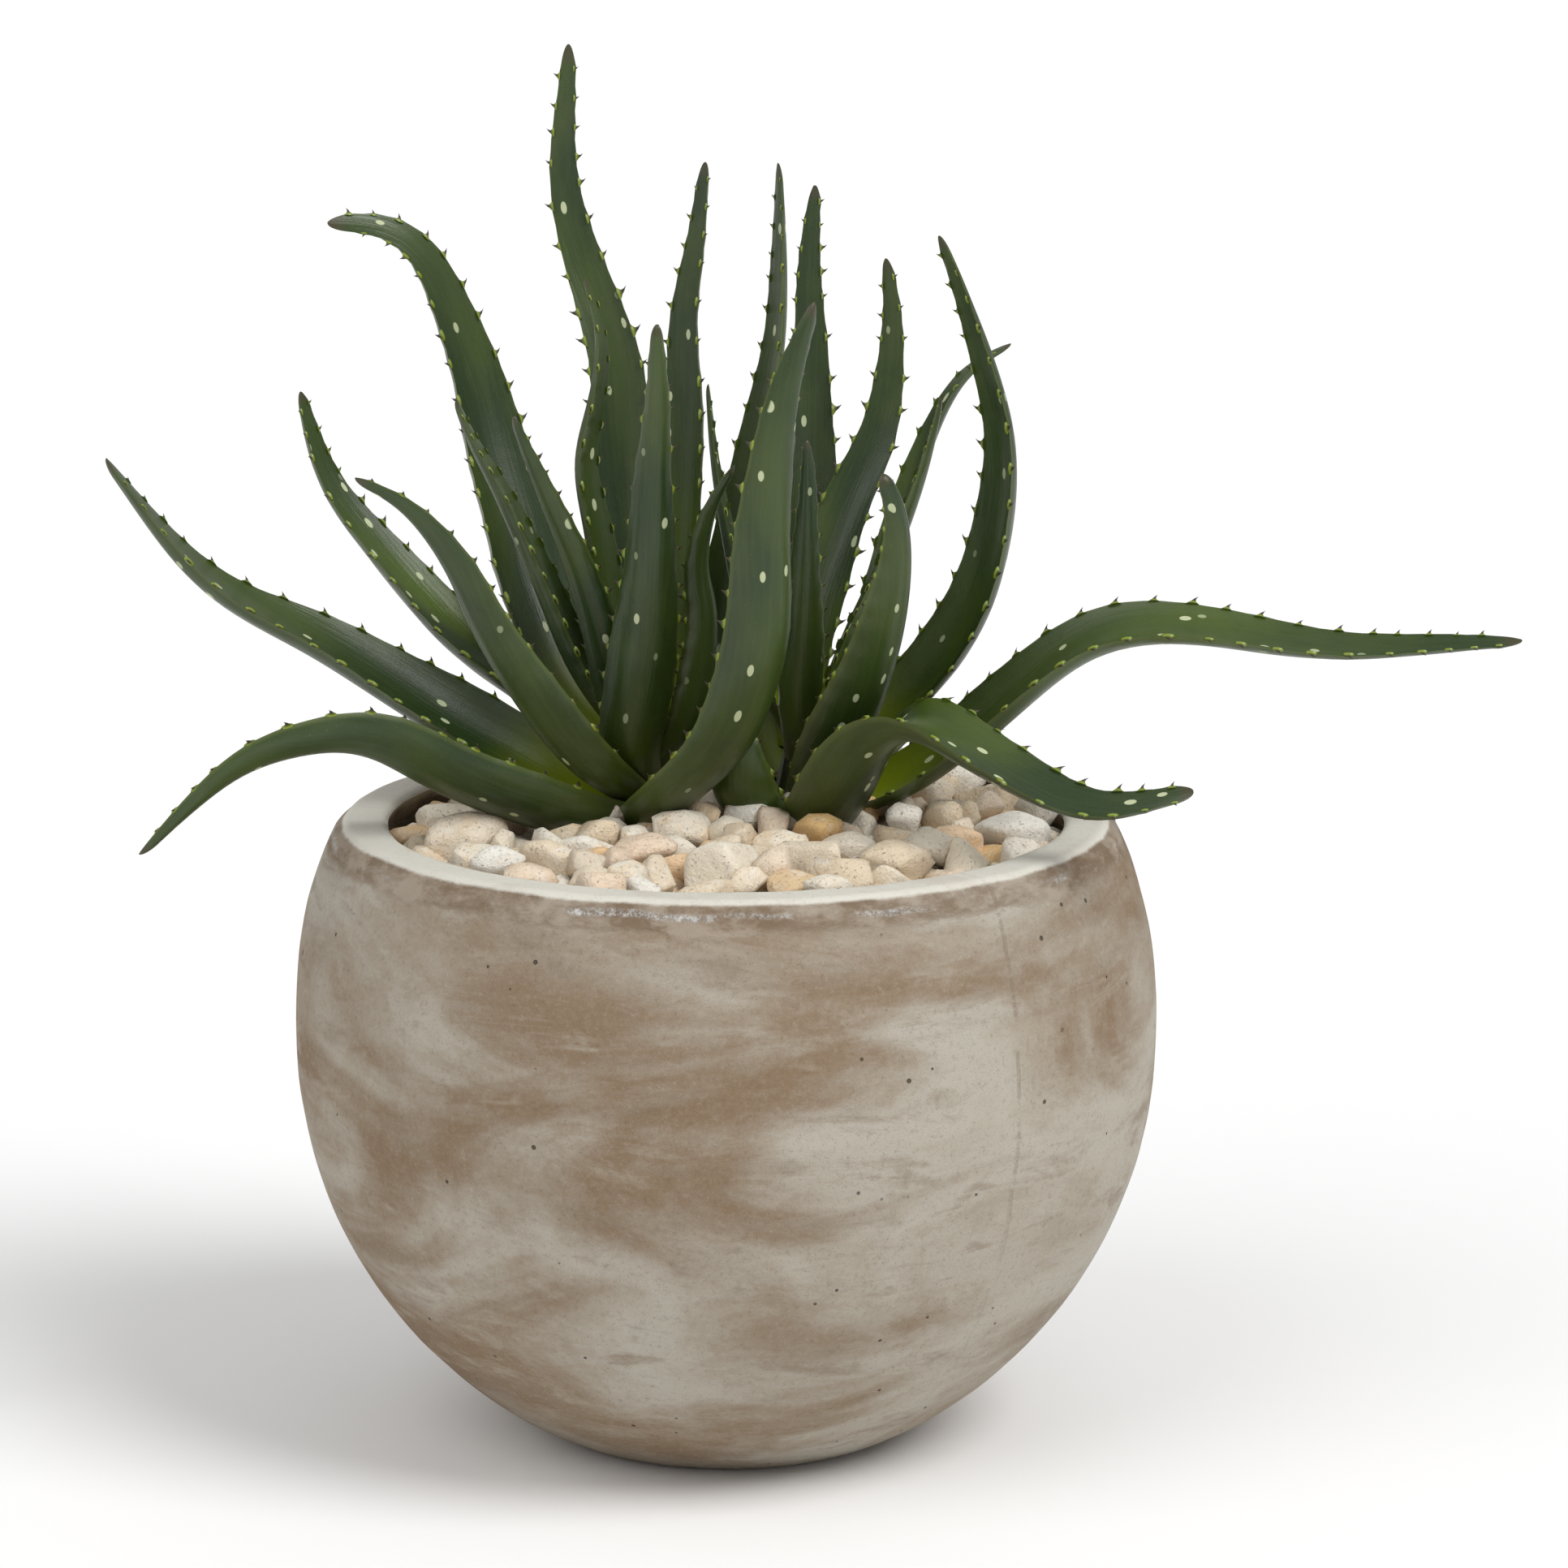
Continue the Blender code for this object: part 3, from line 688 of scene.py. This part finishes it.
# %% Model the blank
BLANK_SIDES = 28
BLANK_STATIONS = spread(0.0, 0.93, 50) + [0.945, 0.958, 0.970, 0.980, 0.988, 0.994, 0.998, 1.0]
nothing_selected()
bpy.ops.mesh.primitive_circle_add(vertices=BLANK_SIDES, radius=0.5, rotation=(math.pi / 2, 0, 0))
blank = just_made("leaf_blank")
bpy.ops.object.mode_set(mode="EDIT")
bpy.ops.mesh.select_all(action="SELECT")
for here, there in zip(BLANK_STATIONS, BLANK_STATIONS[1:]):
    bpy.ops.mesh.extrude_region_move(TRANSFORM_OT_translate={"value": (0, there - here, 0)})
bpy.ops.mesh.fill_grid(span=BLANK_SIDES // 4)
bpy.ops.mesh.select_all(action="SELECT")
bpy.ops.mesh.normals_make_consistent(inside=False)
bpy.ops.object.mode_set(mode="OBJECT")
blank_points = points_of(blank.data)
blank_faces = [tuple(face.vertices) for face in blank.data.polygons]
bpy.data.objects.remove(blank)
print("blank has", len(blank_faces), "faces, y from", blank_points[:, 1].min(),
      "to", round(blank_points[:, 1].max(), 3))

# %% [markdown]
# ## Teeth
# Each tooth is a small flattened thorn that leans towards the tip, on a swollen foot. It is
# modelled once from a cone and copied down both edges of every leaf.

# %% Model one tooth
nothing_selected()
bpy.ops.mesh.primitive_cone_add(vertices=8, radius1=1.0, radius2=0.62, depth=0.5, location=(0, 0, 0.25))
tooth = just_made("tooth")
bpy.ops.object.mode_set(mode="EDIT")
bpy.ops.mesh.select_all(action="DESELECT")
bpy.ops.object.mode_set(mode="OBJECT")
for face in tooth.data.polygons:
    face.select = face.normal.z > 0.9
bpy.ops.object.mode_set(mode="EDIT")
for lift, lean, shrink in ((0.40, 0.10, 0.52), (0.60, 0.20, 0.55), (0.70, 0.42, 0.30)):
    bpy.ops.mesh.extrude_region_move(TRANSFORM_OT_translate={"value": (0, lean, lift)})
    bpy.ops.transform.resize(value=(shrink, shrink, 1))
bpy.ops.mesh.merge(type="CENTER")
bpy.ops.mesh.select_all(action="SELECT")
bpy.ops.mesh.normals_make_consistent(inside=False)
bpy.ops.object.mode_set(mode="OBJECT")
tooth_points = points_of(tooth.data)
tooth_faces = [tuple(face.vertices) for face in tooth.data.polygons]
bpy.data.objects.remove(tooth)
TOOTH_HIGH = tooth_points[:, 2].max()
print("tooth has", len(tooth_faces), "faces and stands", round(TOOTH_HIGH, 2), "of its foot's half-length")

# %% [markdown]
# ## Leaves: one row each
# For each leaf: the height of its foot on the crown, full width, roll at the crown and further
# twist by the tip in degrees, where it is widest, how late it tapers, and the points that it
# passes through. Lengths are in millimetres, as in the frame.

# %% The leaves
Leaf = namedtuple("Leaf", "foot width roll twist widest taper spine")
LEAVES = {
    "left": {
        "arching_front": Leaf(220, 27, 35, -10, 0.25, 1.7, [
            (-57, -10, 226), (-91, -29, 243), (-124, -46, 262), (-160, -62, 257),
            (-181, -72, 241), (-197, -76, 223)]),
        "long_side": Leaf(225.6, 28, -45, 40, 0.32, 1.25, [
            (-59, 8, 236), (-95, 14, 256), (-138, 20, 280), (-179, 16, 302), (-214, 10, 344)]),
        "side_back": Leaf(234, 23, -10, -10, 0.35, 1.25, [
            (-58, 24, 256), (-94, 40, 280), (-127, 52, 313), (-142, 56, 333), (-150, 58, 360)]),
        "front_side": Leaf(232, 24, 0, 0, 0.26, 1.25, [
            (-49, -18, 249), (-75, -38, 289), (-89, -52, 319), (-106, -62, 341), (-123, -68, 350)]),
        "hooked_back": Leaf(243, 32, -20, 0, 0.34, 0.95, [
            (-53, 26, 267), (-76, 52, 327), (-88, 62, 366), (-103, 58, 406), (-119, 54, 420),
            (-139, 48, 421)]),
        "tallest": Leaf(239, 27, 0, 0, 0.3, 1.0, [
            (-29, 42, 270), (-37, 64, 327), (-40, 76, 373), (-56, 88, 415), (-58, 90, 440),
            (-56, 90, 479)]),
        "front_hero": Leaf(223, 26, 0, 0, 0.42, 1.5, [
            (-22, -17, 231), (1, -37, 259), (11, -48, 299), (13, -54, 339), (20, -58, 378),
            (30, -60, 408)]),
        "front_upright": Leaf(236, 24, 0, 0, 0.3, 1.0, [
            (-33, -9, 251), (-27, -22, 289), (-25, -34, 324), (-23, -44, 365), (-22, -50, 399)]),
        "back_upright": Leaf(246, 21, 0, 0, 0.26, 1.25, [
            (-22, 24, 272), (-18, 32, 313), (-15, 38, 358), (-15, 42, 392), (-10, 42, 419),
            (-7, 40, 443)]),
        "back_right": Leaf(231, 20, 0, 0, 0.3, 1.25, [
            (-11, 22, 258), (0, 38, 312), (9, 47, 348), (16, 53, 379), (18, 55, 413),
            (18, 55, 441)]),
        "short_right": Leaf(239, 18, 0, 0, 0.26, 1.25, [
            (-14, -2, 258), (-9, -12, 293), (-11, -17, 310), (-6, -24, 332), (3, -30, 348)]),
        "inner_side": Leaf(250, 20, 0, 0, 0.26, 1.25, [
            (-46, 13, 269), (-60, 8, 302), (-75, 0, 334), (-86, -4, 353), (-92, -6, 367)]),
        "inner_front": Leaf(242, 17, 0, 0, 0.26, 1.25, [
            (-40, -6, 276), (-49, -18, 311), (-59, -28, 335), (-67, -34, 355), (-71, -37, 366)]),
        "inner_wavy": Leaf(252, 16, 0, 0, 0.26, 1.25, [
            (-36, 13, 280), (-44, 14, 322), (-48, 14, 342), (-43, 12, 366), (-42, 10, 388),
            (-48, 8, 407)]),
        "low_back": Leaf(227, 22, 0, 0, 0.26, 1.25, [
            (-36, 46, 236), (-44, 80, 250), (-52, 116, 248), (-58, 146, 232)]),
    },
    "right": {
        "folded_front": Leaf(218, 33, 0, 60, 0.2, 1.25, [
            (36, -16, 233), (48, -34, 260), (66, -50, 269), (90, -66, 256), (122, -80, 241),
            (157, -88, 247)]),
        "long_side": Leaf(227, 26, 25, 15, 0.26, 1.25, [
            (58, 2, 233), (88, -8, 260), (121, -16, 288), (155, -22, 294), (207, -28, 286),
            (272, -32, 288)]),
        "bowed_side": Leaf(233, 22, 35, 10, 0.3, 1.25, [
            (54, 14, 254), (75, 10, 278), (89, 4, 310), (94, 0, 348), (87, -2, 382),
            (73, -4, 423)]),
        "stub_front": Leaf(220, 30, 0, 0, 0.4, 1.25, [(9, -4, 231), (6, -11, 244), (2, -14, 262)]),
        "hooked_back": Leaf(241, 18, 0, 0, 0.3, 1.25, [
            (43, 20, 265), (58, 36, 317), (71, 48, 350), (84, 54, 369), (100, 58, 377)]),
        "back_lean": Leaf(244, 21, 0, 0, 0.3, 1.25, [
            (27, 40, 276), (42, 60, 319), (54, 68, 345), (59, 73, 375), (56, 74, 405)]),
        "back_upright": Leaf(233, 23, 0, 0, 0.3, 1.25, [
            (19, 42, 258), (29, 68, 315), (30, 80, 353), (29, 87, 389), (31, 90, 429)]),
        "inner_side": Leaf(247, 17, 0, 0, 0.3, 1.25, [
            (40, 12, 279), (54, 14, 309), (65, 14, 335), (71, 14, 353), (74, 12, 365)]),
        "front_side": Leaf(231, 33, 22, 10, 0.3, 1.1, [
            (36, -8, 254), (49, -26, 287), (56, -40, 315), (57, -50, 336), (53, -54, 349)]),
        "inner_front": Leaf(241, 15, 0, 0, 0.3, 1.25, [
            (26, -1, 262), (27, -12, 295), (28, -20, 325), (28, -26, 356)]),
        "inner_slim": Leaf(248, 14, 0, 0, 0.3, 1.0, [
            (14, 14, 270), (2, 18, 318), (-3, 22, 343), (-6, 22, 368)]),
        "low_back": Leaf(228, 22, 0, 0, 0.26, 1.25, [
            (44, 38, 232), (62, 70, 240), (78, 98, 236), (90, 122, 226)]),
        "low_back_inner": Leaf(225, 20, 0, 0, 0.26, 1.25, [
            (10, 44, 234), (2, 84, 252), (-4, 118, 256), (-8, 148, 250)]),
    },
}
print(sum(len(leaves) for leaves in LEAVES.values()), "leaves")

# %% [markdown]
# A leaf's spine is one smooth curve through its points. At each station along it, three
# directions are kept: ahead, across and up. Up starts towards the crown's axis, which is the
# side the leaf's channel is on, and is carried along without spin.

# %% Spines
SPINE_STATIONS = 81


def smooth_path(points, count=SPINE_STATIONS):
    """Even stations along a smooth curve through the points."""
    points = [np.array(point, float) for point in points]
    ends = [2 * points[0] - points[1], *points, 2 * points[-1] - points[-2]]
    dense = [points[0]]
    for a, b, c, d in zip(ends, ends[1:], ends[2:], ends[3:]):
        for t in spread(0, 1, 25)[1:]:
            dense.append(0.5 * (2 * b + (c - a) * t + (2 * a - 5 * b + 4 * c - d) * t**2
                                + (3 * b - a - 3 * c + d) * t**3))
    dense = np.array(dense)
    run = np.concatenate([[0], np.cumsum(np.linalg.norm(np.diff(dense, axis=0), axis=1))])
    wanted = np.linspace(0, run[-1], count)
    path = np.stack([np.interp(wanted, run, dense[:, k]) for k in range(3)], 1)
    for _ in range(26):
        path[1:-1] = path[:-2] * 0.25 + path[1:-1] * 0.5 + path[2:] * 0.25
    return path


def unit(vector):
    return vector / np.linalg.norm(vector, axis=-1, keepdims=True)


def spine_of(crown, leaf):
    """(path, across, up) of a leaf at even stations, in metres."""
    points = [np.array(point) * MM for point in leaf.spine]
    outward = unit(np.array([points[0][0] - crown.x, points[0][1] - crown.y, 0]))
    reach = crown.radius - 0.225 * (leaf.foot * MM - BED_CROWN) - 2.5 * MM
    foot = np.array([crown.x, crown.y, leaf.foot * MM - 2 * MM]) + outward * reach
    path = smooth_path([foot] + points)
    ahead = unit(np.gradient(path, axis=0))
    up = np.array([0, 0, 1.0]) - outward
    ups, acrosses = [], []
    for i, way in enumerate(ahead):
        up = unit(up - way * up.dot(way))
        turn = math.radians(leaf.roll + leaf.twist * i / (len(path) - 1))
        turned = up * math.cos(turn) + np.cross(way, up) * math.sin(turn)
        ups.append(turned)
        acrosses.append(np.cross(way, turned))
    return path, np.array(acrosses), np.array(ups)


# %% [markdown]
# ## Growing a leaf
# The blank's length becomes the spine, and its unit section becomes the leaf's own: as wide as
# the leaf is there, round below, and above a channel that fills out towards the tip. The edges
# swell a little at the foot of each tooth. A UV map in metres, across by along, and a few
# numbers on each point then tell the skin where it is.

# %% Width, section and teeth of a leaf
BASE_WIDTH, TIP_WIDTH, TIP_ROUND = 0.80, 0.15, 0.030


def width_at(leaf, t):
    """Width in metres at t, 0 at the crown and 1 at the tip."""
    rise = BASE_WIDTH + (1 - BASE_WIDTH) * np.sin(np.minimum(t / leaf.widest, 1) * math.pi / 2)
    share = np.clip((t - leaf.widest) / (1 - leaf.widest), 0, 1)
    fall = TIP_WIDTH + (1 - TIP_WIDTH) * (1 - share**leaf.taper)
    closing = np.clip((t - 1 + TIP_ROUND) / TIP_ROUND, 0, 1)
    return leaf.width * MM * np.where(t < leaf.widest, rise, fall) * np.sqrt(1 - 0.985 * closing**2)


def teeth_along(length, chance):
    """Places of the teeth along one edge, in metres from the crown."""
    pitch = 13.0 * MM if length > 0.15 else 10.0 * MM
    places, at = [], length * 0.10 + chance.uniform(0, pitch)
    while at < length * 0.975:
        places.append(at)
        at += pitch * chance.uniform(0.82, 1.15) * (1.0 if at < length * 0.8 else 0.75)
    return places


def sampled(stations, values):
    """Values kept at even stations, read at any share t of the length."""
    even = np.linspace(0, 1, len(values))
    return np.stack([np.interp(stations, even, values[:, k]) for k in range(3)], 1)


# %% Grow one leaf
TOOTH_FOOT, TOOTH_SWELL = 2.4 * MM, 0.45 * MM
TOOTH_SINK = 0.35 * MM
EDGE_WAVE, WAVE_LENGTH = 0.35 * MM, 9 * MM
UV_STEP_ACROSS, UV_STEP_ALONG = 0.1, 0.37


def grow_leaf(name, crown, leaf, number):
    """One leaf with its teeth. The number sets its draws, its wave and its part of the UV map."""
    chance = random.Random(number * 17 + 5)
    path, across, up = spine_of(crown, leaf)
    length = np.linalg.norm(np.diff(path, axis=0), axis=1).sum()
    edges = {side: teeth_along(length, chance) for side in (-1, 1)}

    side_share = blank_points[:, 0] / 0.5
    t = np.clip(blank_points[:, 1], 0, 1)
    upper = blank_points[:, 2] > 1e-4
    bow = np.clip(1 - side_share**2, 0, 1)
    bulge = 0.39 + 0.10 * t
    channel = 0.23 - 0.42 * np.clip(t - 0.30, 0, None)
    width = width_at(leaf, t)
    rise = np.where(upper, -channel * bow, -bulge * bow**0.62)
    swell = np.zeros(len(t))
    for side, places in edges.items():
        for at in places:
            near = np.exp(-((t * length - at) / TOOTH_FOOT) ** 2)
            swell += near * (side_share * side > 0.8) * TOOTH_SWELL
    wave = EDGE_WAVE * np.sin(t * length / WAVE_LENGTH + number)
    over = side_share * (width / 2 + swell) + wave * (np.abs(side_share) > 0.75)
    lift = rise * width
    skin = sampled(t, path) + unit(sampled(t, across)) * over[:, None] + unit(sampled(t, up)) * lift[:, None]

    points, faces = [skin], list(blank_faces)
    attributes = {"along": list(t), "edge": list(np.abs(side_share)), "thorn": [0.0] * len(t),
                  "above": list(upper.astype(float))}
    uv_across, uv_along = UV_STEP_ACROSS * number, UV_STEP_ALONG * number
    flat = list(zip(side_share * width / 2 + uv_across, t * length + uv_along))
    for side, places in edges.items():
        for at in places:
            share = np.array([at / length])
            middle = sampled(share, path)[0]
            over_way, up_way = unit(sampled(share, across)[0]), unit(sampled(share, up)[0])
            ahead_way = np.cross(up_way, over_way)
            local = float(width_at(leaf, share)[0])
            size = min(1.0, 0.45 + local / (26 * MM)) * chance.uniform(0.8, 1.15)
            out_way = unit(side * over_way + 0.25 * up_way)
            flat_way = np.cross(ahead_way, out_way)
            foot = middle + side * over_way * (local / 2 - TOOTH_SINK)
            shape = tooth_points * np.array([0.90, 2.3, 1.50]) * MM * size
            start = sum(len(part) for part in points)
            points.append(foot + shape[:, :1] * flat_way + shape[:, 1:2] * ahead_way + shape[:, 2:] * out_way)
            faces += [tuple(start + i for i in face) for face in tooth_faces]
            attributes["along"] += [at / length] * len(shape)
            attributes["edge"] += [1.0] * len(shape)
            attributes["thorn"] += list(0.02 + 0.98 * np.clip(tooth_points[:, 2], 0, None) / TOOTH_HIGH)
            attributes["above"] += [0.5] * len(shape)
            flat += [(uv_across + side * local / 2, at + uv_along)] * len(shape)

    mesh = bpy.data.meshes.new(name)
    mesh.from_pydata(np.concatenate(points).tolist(), [], faces)
    for label, values in attributes.items():
        write_attribute(mesh, label, values)
    layer = mesh.uv_layers.new(name="skin")
    corners = np.empty(len(mesh.loops), int)
    mesh.loops.foreach_get("vertex_index", corners)
    layer.data.foreach_set("uv", np.array(flat)[corners].ravel())
    piece = bpy.data.objects.new(name, mesh)
    bpy.context.scene.collection.objects.link(piece)
    nothing_selected()
    piece.select_set(True)
    bpy.context.view_layer.objects.active = piece
    bpy.ops.object.mode_set(mode="EDIT")
    bpy.ops.mesh.select_all(action="SELECT")
    bpy.ops.mesh.normals_make_consistent(inside=False)
    bpy.ops.object.mode_set(mode="OBJECT")
    bpy.ops.object.shade_smooth_by_angle(angle=math.radians(70))
    return piece


# %% Grow them all
leaf_pieces = []
for side, leaves in LEAVES.items():
    for label, leaf in leaves.items():
        piece = grow_leaf(f"{side}_blade_{label}", CROWNS[side], leaf, len(leaf_pieces))
        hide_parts(f"{side}_leaf_{label}")
        leaf_pieces.append(piece)
print(len(leaf_pieces), "leaves with", sum(len(piece.data.polygons) for piece in leaf_pieces), "faces")

# %% [markdown]
# ## Leaf skin
# The skin is a deep green wax with a satin sheen. It yellows towards the heart of the rosette
# and in soft patches halfway up, is finely streaked along its length, and carries scattered
# pale oval flecks, longer along the leaf than across. Teeth rise from yellow-green feet to
# dry brown points, and the very tips are brown too.

# %% Paint the leaves
skin = Finish("aloe_skin_wax")
along = skin.attribute("along")
edge = skin.attribute("edge")
thorn = skin.attribute("thorn")
patches = skin.cloud(skin.along_skin((26, 9, 1)), 1.0, 4, 0.55, 0.4)
streaks = skin.cloud(skin.along_skin((900, 30, 1)), 1.0, 4, 0.6)
speckle = skin.cloud(skin.along_skin((1, 1, 1)), 1500, 2, 0.5)
blotch = skin.cloud(skin.along_skin((60, 40, 1)), 1.0, 5, 0.6)

green = skin.mix(patches.rising(0.36, 0.64), (0.015, 0.034, 0.006), (0.045, 0.072, 0.011))
mid_zone = along.rising(0.12, 0.35) * along.rising(0.80, 0.45)
yellowing = skin.cloud(skin.along_skin((18, 5, 1)), 1.3, 2, 0.5).rising(0.50, 0.72) * mid_zone
above = skin.attribute("above")
green = skin.mix(yellowing * (0.35 + 0.45 * above), green, (0.100, 0.155, 0.010))
green = skin.mix(streaks.rising(0.40, 0.70) * 0.16, green, (0.080, 0.105, 0.045))
green = skin.mix(blotch.rising(0.55, 0.75) * 0.25, green, (0.014, 0.026, 0.008))
heart = along.rising(0.26, 0.03) * (0.12 + 0.88 * above)
green = skin.mix(heart * 0.9, green, (0.210, 0.270, 0.006))
low_brown = along.rising(0.30, 0.02) * (1 - above) * blotch.rising(0.40, 0.65)
green = skin.mix(low_brown * 0.4, green, (0.075, 0.068, 0.038))
green = skin.mix(speckle.rising(0.66, 0.74) * 0.25, green, (0.180, 0.220, 0.110))
green = skin.mix(edge.rising(0.955, 1.0) * 0.30, green, (0.150, 0.185, 0.040))

cells = {"Vector": skin.along_skin((112, 54, 1)), "Scale": 1.0}
fleck_near = skin.node("TexVoronoi", cells, output="Distance", voronoi_dimensions="2D")
fleck_kind = skin.cell_number(cells, "Red", voronoi_dimensions="2D")
fleck_size = skin.cell_number(cells, "Green", voronoi_dimensions="2D")
fleck = (fleck_near - fleck_size * 0.045).rising(0.085, 0.060) * fleck_kind.rising(0.64, 0.66)
fleck = fleck * edge.rising(0.92, 0.84) * along.rising(0.06, 0.12)
green = skin.mix(fleck * fleck_size.rising(-0.3, 0.5), green, (0.48, 0.53, 0.32))

thorn_colour = skin.node("ValToRGB", {"Fac": thorn}, stops=[
    (0.0, (0.060, 0.095, 0.012)), (0.16, (0.240, 0.320, 0.025)), (0.32, (0.110, 0.130, 0.020)),
    (0.48, (0.035, 0.030, 0.012)), (1.0, (0.022, 0.013, 0.008))])
colour = skin.mix(thorn.rising(0.005, 0.02), green, thorn_colour)
colour = skin.mix(along.rising(0.968, 0.990) * 0.75, colour, (0.060, 0.048, 0.024))

sheen = 0.27 + 0.16 * blotch + fleck * 0.12 + thorn.rising(0.1, 0.4) * 0.15
wax_relief = streaks * 0.5 + blotch * 0.6 + speckle * 0.12 + fleck * 0.25
leaf_skin = skin.paint(colour, sheen, wax_relief, 0.00035, Specular_IOR_Level=0.50)
for piece in leaf_pieces:
    dress(piece, leaf_skin)

# %% [markdown]
# ## Crowns
# The short stems that the leaves clasp are the measured solids. They are dark olive, and
# stay in shadow behind the leaf bases.

# %% Crown finish
stem = Finish("aloe_crown_flesh")
stem_cloud = stem.cloud(stem.place((1, 1, 0.3)), 180, 5, 0.6)
stem_colour = stem.mix(stem_cloud.rising(0.35, 0.65), (0.022, 0.030, 0.008), (0.060, 0.075, 0.014))
stem_skin = stem.paint(stem_colour, 0.5, stem_cloud, 0.0008)
for side in CROWNS:
    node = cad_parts[f"{side}_crown"]
    node.data.materials.clear()
    node.data.materials.append(stem_skin)
